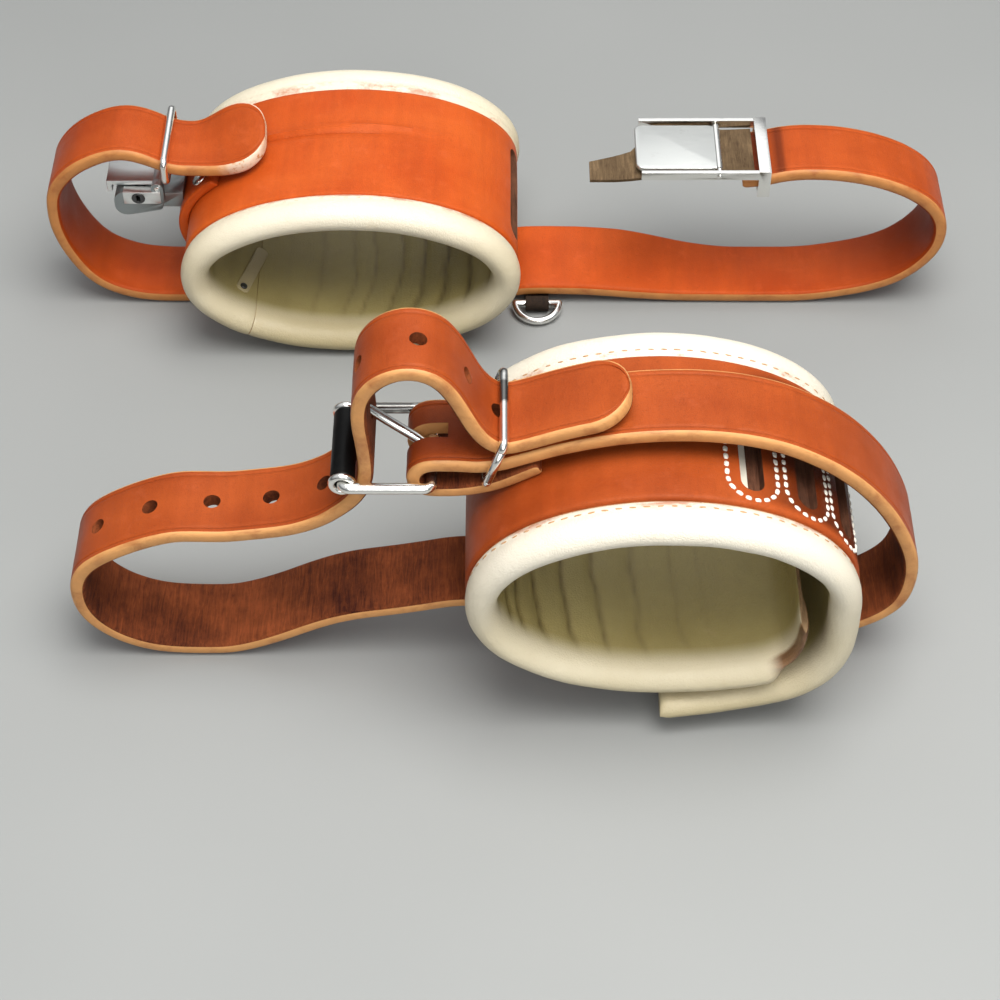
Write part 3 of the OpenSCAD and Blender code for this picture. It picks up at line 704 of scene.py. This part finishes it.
# The front strap's holes are counted from the tongue's, which lies just before this point.
TONGUE_POINT, TONGUE_BELOW = np.array([-38.118, 97.481]), 2.5
HOLES, HOLE_PITCH, HOLE_R = range(-6, 5), 17.9, 2.5
UPPER_LAYER = 400           # beyond this length the front strap is on its way up to the tongue
END_REACH = 1.6             # the cut ends are rounded over this length
TILT, LEAN = 3.4, 6.8       # how far the rear strap's edges rise in two places
KEEPER_AT, RING_AT = (-113, 61.5), (94.2, 56.6)
# Painted shade inside the rear strap's two loops: its strength, and a point near each bend.
LOOP_SHADE_AT = ((0.85, (149, 24)), (0.7, (-150, 32)))       # how dark inside, and where


def strap_move(line, seed, tilt=None, pinch=None, lean=None):
    """Hand worn leather is never quite flat: a little wander, and thin rounded ends.
    pinch(s) is how much thinner it is pressed, lean(s) how far its far edge turns up inwards."""
    total = lengths(line)[-1]

    def move(s, y, out):
        out = out * (1 - 0.55 * rounding(np.minimum(s, total - s) / END_REACH))
        y = y + 0.22 * wobble(s, np.zeros_like(y), 0.03, seed)
        top = (out > 0) * (np.abs(y) < HALF_W - 3.4)
        out = out + 0.07 * top * wobble(s, y, 0.11, seed + 5)
        if pinch is not None:
            out = out * (1 - pinch(s))
        if tilt is not None:
            out = out + tilt(s) * y / HALF_W
        if lean is not None:
            out = out - lean(s) * (1 + y / HALF_W) / 2
        return y, out
    return move


def build_front_strap():
    cum = lengths(front_line)
    strap = sweep("front_strap_leather", front_line, FRONT_Y, strap_section(),
                  [FRONT_GRAIN, FRONT_EDGE, FLESH], (2, 1), strap_move(front_line, 3.0),
                  rounded_end(cum[-1], 11))
    off = np.linalg.norm(front_line - TONGUE_POINT, axis=1)
    tongue_s = cum[int(np.argmin(np.where(cum > UPPER_LAYER, off, 1e9)))] - TONGUE_BELOW
    cutters = []
    for k in HOLES:
        p, way, left = at_length(front_line, tongue_s + k * HOLE_PITCH)
        hole = frame_matrix(p, way, left, FRONT_Y)
        cutters.append(prism_cutter(circle(HOLE_R), -4, 4, hole, FLESH))
    # room for the tongue and its eye in the fold
    room = [(-12.5, -2.7), (4.5, -2.7), (4.5, 2.7), (-12.5, 2.7)]
    cutters.append(prism_cutter(room, -2.5, 12.5, flat_at(bar_pos[0], FRONT_Y, bar_pos[1]), FRONT_EDGE))
    cut(strap, cutters)
    assign(strap, "front_cuff", "strap_leather", "front_strap")


def build_rear_strap():
    cum, section = lengths(rear_line), strap_section()
    total = cum[-1]
    keeper_s, ring_s = nearest(rear_line, KEEPER_AT), nearest(rear_line, RING_AT)

    def tilt(s):
        """The upper end leans over towards its keeper."""
        x = np.interp(s, cum, rear_line[:, 0])
        return TILT * smoothstep((x + 104) / 16 * (s > total - 60))

    def pinch(s):
        return 0.10 * np.exp(-((s - keeper_s) / 5) ** 2)

    def lean(s):
        """On the floor beside the cuff the far edge is turned up."""
        x, z = (np.interp(s, cum, rear_line[:, k]) for k in (0, 1))
        return LEAN * (z < 10) * smoothstep((x + 5) / 9) * smoothstep((84 - x) / 46)

    strap = sweep("rear_strap_leather", rear_line, REAR_Y, section,
                  [REAR_STRAP_GRAIN, REAR_EDGE, REAR_FLESH], (1, 1),
                  strap_move(rear_line, 9.0, tilt, pinch, lean), rounded_end(total, 10))
    s = np.repeat(cum[:, None], len(section), 1)
    frayed = np.clip((s - (total - 17)) / 5, 0, 1) * (0.7 + 0.5 * wobble(s, s, 0.35, 2.0))
    set_values(strap, "frayed", frayed)
    inner_side = np.array([p[1] < 0 for p in section])
    # The rear strap's painted shade: inside its loops, a painted shadow where it goes under the clamp's end
    # bar, and inside the clamp.
    loop_shade = sum(most * np.exp(-((s - nearest(rear_line, bend)) / 34) ** 2) for most, bend in LOOP_SHADE_AT)
    end_bar_shadow = np.exp(-((s - ring_s) / 2.2) ** 4)
    clamp_shade = np.clip((7 - s) / 1.5, 0, 1)
    set_values(strap, "painted_shade", np.maximum(np.maximum(inner_side * loop_shade, end_bar_shadow), clamp_shade))
    assign(strap, "rear_cuff", "strap_leather", "rear_strap")


# ---- Padded cuffs -----------------------------------------------------

# The rings' ellipses and the front ring's two ends, as in the part's source
front_c, front_r = (46, 51.5), (51.5, 33.3)
rear_c, rear_r = (-50, 32), (52.3, 27.3)
rear_body_c, rear_body_r = (-50, 33.9), (54.5, 27.5)
inner_end = [[88.5, 42], [87.9, 34], [85.2, 27.8], [81.3, 24.4], [75.5, 21.9], [68, 20], [58, 18.8]]
outer_end = [[97.8, 42], [96.9, 31.9], [93.2, 22.6], [87, 16.5], [79, 12.8], [71, 10.7], [60, 9.4],
             [47, 9.2]]
FRONT_BODY, REAR_BODY = (1.5, 4.55), (-1.5, 1.55)       # each body's faces, out from its line
FRONT_SLOTS, REAR_SLOTS = (65, 45, 23), (10, -8, -26)   # angles in degrees
SLOT_L, SLOT_W = 44.0, 7.0
MID_IN = 0.84                   # how far in the lining's middle lies, in half thicknesses
BARE_LENGTH = 17.0              # of leather without padding, at the front ring's inner end
SLOT_STITCHES_OFF = 4.0         # out from a slot's edge
RIM_STITCHES_Y = 30.1


def padding_section(half_t):
    """From the seam under the body's near edge, round the rim, across the inside and back."""
    near = [(-26.0, 0.30), (-27.7, 0.70), (-28.8, 0.84), (-30.0, 0.91), (-30.6, 0.89), (-31.4, 0.97),
            (-33.0, 1.0), (-34.8, 0.98), (-36.4, 0.88), (-37.8, 0.70), (-38.9, 0.44), (-39.6, 0.14),
            (-39.6, -0.16), (-38.9, -0.46), (-37.8, -0.70), (-36.4, -0.88), (-34.8, -0.98),
            (-33.0, -1.0), (-31.0, -0.98), (-29.0, -0.93), (-27.0, -0.88)]
    section = near + [(y, -MID_IN) for y in np.arange(-25.0, 25.1, 1.6667)]
    section += [(-y, out) for y, out in reversed(near)]
    section += [(y, 0.22) for y in (20, 10, 0, -10, -20)]
    return [(y, out * half_t, 0) for y, out in section]


def pillows(s, y, creases, seed, total):
    """0 in each crease across the lining, 1 on the soft swell between two of them.
    On both sides of the ring the creases bow: their ends lie nearer the floor."""
    shift = 2.2 * wobble(s, y, 0.045, seed) + 0.9 * wobble(s, y, 0.14, seed + 2)
    t = s + shift + 5 * np.sin(2 * math.pi * s / total) * (y / 30) ** 2
    i = np.clip(np.searchsorted(creases, t) - 1, 0, len(creases) - 2)
    lo, hi = creases[i], creases[i + 1]
    u = np.clip((t - lo) / (hi - lo), 0, 1)
    return (4 * u * (1 - u)) ** 0.7


def padding(name, line, y0, half_t, seed, soft, ends, bare=0.0):
    """The padded ring: rolled rims and a creased inner face in one skin.
    soft(s) is how loose the lining is, in millimetres. The padding stops bare millimetres
    before the start of the line, and only leather goes on."""
    total, section = lengths(line)[-1], padding_section(half_t)
    rnd = random.Random(seed)
    creases = [0.0]
    while creases[-1] < total + 20:
        creases.append(creases[-1] + rnd.uniform(6.5, 14.5))
    creases = np.array(creases)
    off, outs = (np.array([p[i] for p in section]) for i in (0, 1))
    off = np.abs(off)
    sink = 0.38 if bare else 0.05       # how far the ends round off, open or butted
    found = {}                          # what move works out for the material

    def move(s, y, out):
        puff = pillows(s, y, creases, seed, total)
        amount = soft(s) * (out < 0) * smoothstep((32.5 - np.abs(y)) / 9)
        out = out - amount * (puff - 0.55)
        # how much painted shade each crease of the lining takes
        found["fold"] = np.clip(1 - puff / 0.65, 0, 1) ** 1.2 * np.clip(amount / 1.4, 0, 1)
        roll = np.clip((np.abs(y) - 29) / 5, 0, 1)
        out = out + roll * (0.16 * wobble(s, y, 0.09, seed + 7) + 0.06 * wobble(s, y, 0.3, seed + 8))
        y = y + np.sign(y) * roll * 0.20 * wobble(s, np.abs(y), 0.07, seed + 9)
        near_end = np.minimum(s, total - s) / 2.5
        out = out * (1 - sink * rounding(near_end))
        y = y * (1 - 0.04 * sink * (1 - np.clip(near_end, 0, 1)))
        if bare:
            tail = np.clip(1 - (total - s) / 34, 0, 1) ** 1.5
            out = out * (1 - 0.22 * tail)
            y = y - 3.2 * tail
            full = smoothstep((s - bare) / 7)
            out = out * (0.34 + 0.66 * full) - (1 - full) * 1.6
            y = y * (0.945 + 0.055 * full)
            found["bare"] = (1 - full) * ((outs > -0.5 * half_t) | (off > 35))
        return y, out

    piece = sweep(name, line, y0, section, [LINING, LINING_END], ends, move)
    found["inside"] = np.tile(np.clip((33.5 - off) / 6, 0, 1) * (outs < 0), len(line))
    found["seam"] = np.tile(0.8 * np.exp(-((off - 28.6) / 1.5) ** 2) * (outs > 0), len(line))
    for key, values in found.items():
        set_values(piece, key, values)
    return piece


def body_band(name, line, y0, low, high, mats, move=None):
    """The leather body: a band with rounded edges, grain out."""
    w, m = 27.5, (low + high) / 2
    h = (high - low) / 2
    near = [(0.0, 0.1, 0), (0.12, 0.5, 0), (0.45, 0.82, 0), (1.0, 0.97, 0), (1.9, 1.0, 0),
            (3.0, 1.0, 0)]
    top = [(-(w - a), m + b * h, k) for a, b, k in near]
    top += [(y, high, 0) for y in np.arange(-22.5, 22.6, 1.5)]
    top += [(w - a, m + b * h, 0) for a, b, k in reversed(near)]
    bottom = [(w - 0.4, m - 0.8 * h, 1), (w - 1.2, low, 2), (10, low, 2), (-10, low, 2),
              (-(w - 1.2), low, 1), (-(w - 0.4), m - 0.8 * h, 1)]
    return sweep(name, line, y0, top + bottom, mats, (1, 1), move)


def slot_matrix(c, r, angle, y0):
    """At an angle of an ellipse, with local Z straight out of it."""
    a = math.radians(angle)
    p = (c[0] + r[0] * math.cos(a), c[1] + r[1] * math.sin(a))
    n = np.array([math.cos(a) / r[0], math.sin(a) / r[1]])
    n /= np.linalg.norm(n)
    return frame_matrix(p, (n[1], -n[0]), n, y0)


def cut_slots(piece, c, r, y0, angles):
    cut(piece, [prism_cutter(stadium(SLOT_L, SLOT_W), -4.5, 5, slot_matrix(c, r, a, y0), DARK_FLESH)
                for a in angles])


def slot_liner(name, c, r, start, end, y0, low, high, bumpy):
    """The strip of dark leather behind a body's slots. It follows an ellipse."""
    line = even(ellipse(c, r, start, end, 1.0), 0.8)
    section = [(y, high, 0) for y in np.linspace(-24, 24, 25)]
    section += [(y, low, 0) for y in np.linspace(24, -24, 9)]

    def move(s, y, out):
        return y, out + bumpy * wobble(s * 3.0, y * 0.4, 0.3, 4.0) * (out > (low + high) / 2)
    return sweep(name, line, y0, section, [DARK_FLESH], (0, 0), move)


def rim_stitch_places(line, y0, out, pitch, start, end):
    """Stitches along both rims, between two lengths of a line."""
    places = []
    for s in np.arange(start, end, pitch):
        p, d, n = at_length(line, s)
        q = p + n * out
        for side in (-1, 1):
            places.append(((q[0], y0 + side * RIM_STITCHES_Y, q[1]), (d[0], 0, d[1]),
                           (n[0], 0.12 * side, n[1])))
    return places


def slot_stitch_places(c, r, y0, pitch):
    """Stitches round each slot, laid on the body's curved outside."""
    ring = ellipse(c, r, 150, -30, 0.25)
    outline = np.array(stadium(SLOT_L + 2 * SLOT_STITCHES_OFF - 1.5, SLOT_W + 2 * SLOT_STITCHES_OFF, 24))
    outline = np.vstack([outline, outline[:1]])
    whole = lengths(outline)[-1]
    count = int(whole / pitch)
    places = []
    for angle in FRONT_SLOTS:
        across, up = np.multiply(r, on_circle(1, angle))
        middle = nearest(ring, (c[0] + across, c[1] + up))
        for i in range(count):
            t = (i + 0.5) / count * whole
            (x, y), (next_x, next_y) = points_at(outline, [t, t + 0.3])
            if y > 2:       # sewn round the near end only
                continue
            p, _, n = at_length(ring, middle + x)
            q = at_length(ring, middle + next_x)[0]
            places.append(((p[0], y0 + y, p[1]), (q[0] - p[0], next_y - y, q[1] - p[1]),
                           (n[0], 0, n[1])))
    return places


def build_front_cuff():
    ring = np.vstack([smooth(inner_end + [[46, 18.2]]), ellipse(front_c, front_r, 264, 0),
                      smooth(outer_end)])
    line = with_fine_ends(ring, CUFF_STEP)
    total = lengths(line)[-1]

    def soft(s):
        """Loosest on the left, and tight where the two ends overlap."""
        loose = 0.6 + 1.5 * np.exp(-((s - 150) / 62) ** 2)
        return 1.25 * loose * np.clip((s - 30) / 40, 0, 1) * np.clip((total - 112 - s) / 25, 0, 1)
    pad = padding("front_padding", line, FRONT_Y, 4.45, 21, soft, (1, 0), BARE_LENGTH)
    assign(pad, "front_cuff", "lining", "front_lining", "front_rim_near", "front_rim_far", "front_felt_pad")

    body_line = even(np.vstack([ellipse(front_c, front_r, 258, 0, 1.0), smooth(outer_end)[:5]]), 1.2)
    body = body_band("front_body", body_line, FRONT_Y, *FRONT_BODY,
                     [FRONT_BODY_GRAIN, FRONT_EDGE, DARK_FLESH])
    cut_slots(body, front_c, np.add(front_r, 3), FRONT_Y, FRONT_SLOTS)
    assign(body, "front_cuff", "body_leather", "front_body_leather")

    backing = slot_liner("front_slot_liner", front_c, front_r, 64.5, 12, FRONT_Y, 0.6, 1.35, 0.25)
    assign(backing, "front_cuff", "brown_leather", "front_slot_backing")

    places = slot_stitch_places(front_c, np.add(front_r, FRONT_BODY[1]), FRONT_Y, 2.75)
    sewn = stitches("front_slot_stitches", places, 2.0, 1.45, 0.9, SLOT_THREAD)
    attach(sewn, "front_cuff")
    start = nearest(line, (40.6, 18.4)) + 4
    places = rim_stitch_places(line, FRONT_Y, 3.95, 3.6, start, total - 3)
    sewn = stitches("front_rim_stitches", places, 2.1, 0.62, 0.45, RIM_THREAD)
    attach(sewn, "front_cuff")


def build_rear_cuff():
    line = with_fine_ends(ellipse(rear_c, rear_r, 227.8, -131.8, 1.0), CUFF_STEP)
    total = lengths(line)[-1]

    def soft(s):
        """Loosest on the right, and tight at the join."""
        loose = 0.4 + 1.6 * np.exp(-((s - 0.62 * total) / 46) ** 2)
        return loose * np.clip(np.minimum(s, total - s) / 20, 0, 1)
    pad = padding("rear_padding", line, REAR_Y, 4.65, 33, soft, (1, 1))
    assign(pad, "rear_cuff", "lining", "rear_lining", "rear_rim_near", "rear_rim_far", "rear_felt_pad")

    body_line = even(ellipse(rear_body_c, rear_body_r, 227, -131, 1.0), 1.2)
    from_s, to_s = nearest(body_line, (-95, 50)), nearest(body_line, (-14, 55))

    def crease(s, y, out):
        """A long crease runs along the top of the body."""
        fade = np.clip((s - from_s) / 12, 0, 1) * np.clip((to_s - s) / 30, 0, 1)
        across = y - 7.0 - 1.2 * wobble(s, np.zeros_like(s), 0.02, 6.0)
        step = 1.0 * np.exp(-(across / 1.0) ** 2) - 0.9 * np.exp(-((across + 2.2) / 1.5) ** 2)
        return y, out + (out > 1.2) * (fade * step + 0.12 * wobble(s, y, 0.05, 8.0))
    body = body_band("rear_body", body_line, REAR_Y, *REAR_BODY,
                     [REAR_GRAIN, REAR_EDGE, DARK_FLESH], crease)
    cut_slots(body, rear_body_c, rear_body_r, REAR_Y, REAR_SLOTS)
    assign(body, "rear_cuff", "body_leather", "rear_body_leather")

    backing = slot_liner("rear_slot_liner", (-50, 33.8), (52.7, 25.8), 18, -34, REAR_Y, -0.8, -0.05, 0.2)
    assign(backing, "rear_cuff", "brown_leather", "rear_slot_backing")

    places = rim_stitch_places(line, REAR_Y, 4.1, 3.9, 6, total - 6)
    sewn = stitches("rear_rim_stitches", places, 1.9, 0.5, 0.35, FAINT_THREAD)
    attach(sewn, "rear_cuff")


def build_lining_tab():
    """A small tab of lining, held by a stud, lies on the rear cuff's inner face."""
    angle, depth, aside, twist = 222, 4.2, -14, -15
    p = np.add(rear_c, np.subtract(rear_r, depth) * on_circle(1, angle))
    way = np.multiply(rear_r, on_circle(1, angle + 90))
    way /= np.linalg.norm(way)
    at = frame_matrix(p, way, (-way[1], way[0]), REAR_Y + aside)
    at = at @ Matrix.Rotation(math.radians(twist), 4, "Z")
    plate("rear_lining_tab", rounded(-2.3, 2.3, -12.5, 12.5, 1.6), -0.6, 0.7, at, LINING, "rear_cuff",
          0.3, "lining")
    plate("rear_lining_stud", circle(1.25), 0.4, 1.3, at @ flat_at(0, -10.4, 0), DARK_STEEL,
          "rear_cuff", 0.3)


# ---- Metal, and small leather parts -----------------------------------

def refined(name, node, mat, slot, bevel=0.0):
    """The CAD node's own shape as a clean mesh, with its hard edges softly bevelled."""
    bm = bmesh.new()
    bm.from_mesh(NODES[node].data)
    bmesh.ops.remove_doubles(bm, verts=bm.verts, dist=2e-6)
    if bevel:
        bmesh.ops.dissolve_limit(bm, angle_limit=math.radians(2), verts=bm.verts, edges=bm.edges)
        edges = [e for e in bm.edges if len(e.link_faces) == 2
                 and e.calc_face_angle(0) > math.radians(40)]
        bmesh.ops.bevel(bm, geom=edges, offset=bevel * MM, segments=3, profile=0.5,
                        affect="EDGES", clamp_overlap=True)
        # slivers are closed up, so that the mesh is still closed after it is exported
        bmesh.ops.remove_doubles(bm, verts=bm.verts, dist=1e-5)
    piece = from_bmesh(name, bm, mat, 38)
    piece.data.polygons.foreach_set("material_index", [0] * len(piece.data.polygons))
    assign(piece, NODES[node]["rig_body"], slot, node)
    return piece


def plate(name, outline, low, high, matrix, mat, body, bevel=0.35, slot="nickel", stands_for=()):
    """A flat pressed plate with eased edges."""
    piece = prism_cutter(outline, low, high, matrix, mat)
    piece.name = piece.data.name = name
    mod = piece.modifiers.new("edge", "BEVEL")
    mod.width, mod.segments, mod.limit_method = bevel * MM, 3, "ANGLE"
    mod.angle_limit = math.radians(50)
    apply_modifiers(piece)
    shade_smooth(piece.data, 38)
    assign(piece, body, slot, *stands_for)


def wire_eye(name, at, r, wire_r, body):
    """The frame's wire bent round the roller's axle: a ring about Y."""
    turns, around = 40, 14
    verts, faces = [], []
    for i in range(turns):
        for j in range(around):
            reach, y = on_circle(wire_r, 360 * j / around)
            x, z = on_circle(r + reach, 360 * i / turns)
            verts.append((at[0] + x, at[1] + y, at[2] + z))
            a, b, k = i * around, (i + 1) % turns * around, (j + 1) % around
            faces.append((a + j, a + k, b + k, b + j))
    piece = mesh_piece(name, verts, faces, [NICKEL])
    face_outwards(piece)
    assign(piece, body, "nickel")


ROLLER_AXIS, LEVER_AXIS = (-44, 79.5), (73, 58.9)
AXLE_EYES_Y = 13.75
LEVER_L, LEVER_W, LEVER_BARREL_R = 27.6, 22.4, 1.4
KEY_PLATE_Y = REAR_Y - 9.55     # the lock's bright key side is nearer than this
# The wire parts and rivets, which are the CAD's shapes as they are
PLAIN = {
    "front_rivets": ("front_strap_rivets", NICKEL), "front_frame_wire": ("front_buckle_frame", WIRE),
    "front_tongue_wire": ("front_buckle_tongue", WIRE), "front_keeper_wire": ("front_keeper", WIRE),
    "rear_rivets": ("rear_strap_rivets", NICKEL), "rear_keeper_wire": ("rear_keeper", NICKEL),
    "lock_rivets": ("rear_lock_rivets", NICKEL), "lock_pin": ("rear_lock_pin", NICKEL),
    "clamp_pin": ("rear_clamp_pin", NICKEL), "d_ring_wire": ("rear_d_ring", NICKEL)}


def build_lock():
    refined("lock_hasp_plate", "rear_lock_hasp", BRIGHT, "nickel", 0.45)
    case = refined("lock_case", "rear_lock_body", SATIN, "lock_steel", 0.5)
    case.data.materials.append(BRIGHT)
    for face in case.data.polygons:
        x, y, z = face.center / MM
        in_corner = z > 47.3 and y < KEY_PLATE_Y + 3.2 and x < -114.2
        if y < KEY_PLATE_Y or in_corner:
            face.material_index = 1
    refined("lock_plug_disc", "rear_lock_plug", DARK_STEEL, "lock_steel", 0.25)


def build_lever():
    at_axis = flat_at(LEVER_AXIS[0], REAR_Y, LEVER_AXIS[1])
    plate("clamp_lever_plate", rounded(-LEVER_L, 0.0, -LEVER_W / 2, LEVER_W / 2, 2.6), -0.5, 1.1,
          at_axis, CLAMP_PLATE, "clamp_lever", 0.45, stands_for=("rear_clamp_lever",))
    bm = bmesh.new()
    bmesh.ops.create_cone(bm, cap_ends=True, segments=40, radius1=LEVER_BARREL_R * MM,
                          radius2=LEVER_BARREL_R * MM, depth=LEVER_W * MM,
                          matrix=at_axis @ Matrix.Rotation(math.radians(90), 4, "X"))
    barrel = from_bmesh("clamp_lever_barrel", bm, NICKEL, 38)
    assign(barrel, "clamp_lever", "nickel")


def build_metal():
    for name, (node, mat) in PLAIN.items():
        refined(name, node, mat, "nickel")
    refined("front_roller_tube", "front_buckle_roller", BLACK, "black_steel", 0.5)
    for i, side in enumerate((-1, 1)):
        at = (ROLLER_AXIS[0], FRONT_Y + side * AXLE_EYES_Y, ROLLER_AXIS[1])
        wire_eye("front_frame_eye_%d" % (i + 1), at, 3.0, 1.05, "front_buckle")
    build_lock()
    refined("clamp_frame_steel", "rear_clamp_frame", NICKEL, "nickel", 0.55)
    refined("lock_strap_leather", "rear_lock_chape", REAR_FLESH, "brown_leather", 0.8)
    refined("clamp_tab_leather", "rear_clamp_tab", TAB_BROWN, "brown_leather", 0.3)
    refined("d_ring_chape_leather", "rear_d_ring_chape", CHAPE_BLACK, "strap_leather", 0.3)
    build_lever()


# ---- Stage ------------------------------------------------------------

def build_stage():
    """Camera, floor, three soft lights and a pale sky, as in a small photo tent."""
    scene = bpy.context.scene
    scene.view_settings.view_transform = "Standard"
    cam = bpy.data.cameras.new("camera")
    cam.lens, cam.sensor_width = 80.02, 36
    cam.clip_start, cam.clip_end = 0.01, 20
    camera = bpy.data.objects.new("camera", cam)
    camera.location = (0, -0.505, 0.540)
    camera.rotation_euler = (math.radians(90 - 48.51), 0, 0)
    scene.collection.objects.link(camera)
    scene.camera = camera

    card = Shade("floor", Roughness=0.6, Specular_IOR_Level=0.25)
    tone = card.ramp(card.noise(3, 3), (0.3, (0.262, 0.268, 0.262)), (0.7, (0.292, 0.297, 0.290)))
    # Painted light falloff: the floor is darker towards the back.
    painted_falloff = card.ramp(card.fade(card.place("Y"), -400, 600), (0.0, 1.04), (0.9, 0.88))
    mesh = bpy.data.meshes.new("floor")
    mesh.from_pydata([(-6, -6, 0), (6, -6, 0), (6, 6, 0), (-6, 6, 0)], [], [(0, 1, 2, 3)])
    mesh.materials.append(card.done(card.mix(1.0, tone, painted_falloff, "MULTIPLY")))
    floor = new_piece("floor", mesh)
    floor.location.z = -0.0004

    def area(name, place, aim, size, watts, colour):
        light = bpy.data.lights.new(name, "AREA")
        light.size, light.energy, light.color = size, watts, colour
        lamp = bpy.data.objects.new(name, light)
        lamp.location = place
        lamp.rotation_euler = (Vector(aim) - Vector(place)).to_track_quat("-Z", "Y").to_euler()
        scene.collection.objects.link(lamp)
    area("key", (0.16, -0.16, 0.98), (0, -0.03, 0), 0.75, 15.0, (1.0, 0.985, 0.96))
    area("front_fill", (0.1, -0.85, 0.5), (0, -0.40, 0), 0.6, 2.6, (0.98, 0.99, 1.0))
    area("back_card", (0.0, 1.0, 1.05), (0, 0.05, 0), 1.0, 2.1, (0.98, 0.99, 1.0))

    world = bpy.data.worlds.new("world")
    scene.world = world
    world.use_nodes = True
    nodes, links = world.node_tree.nodes, world.node_tree.links
    split = nodes.new("ShaderNodeSeparateXYZ")
    sky = nodes.new("ShaderNodeValToRGB")
    links.new(nodes.new("ShaderNodeTexCoord").outputs["Generated"], split.inputs[0])
    links.new(split.outputs["Z"], sky.inputs[0])
    low, high = sky.color_ramp.elements
    low.position, low.color = 0.12, (0.09, 0.093, 0.10, 1)
    high.position, high.color = 0.75, (0.66, 0.675, 0.69, 1)
    links.new(sky.outputs[0], nodes["Background"].inputs["Color"])
    nodes["Background"].inputs["Strength"].default_value = 1.0


# ---- Everything -------------------------------------------------------

build_stage()
build_front_cuff()
build_rear_cuff()
build_lining_tab()
build_front_strap()
build_rear_strap()
build_metal()
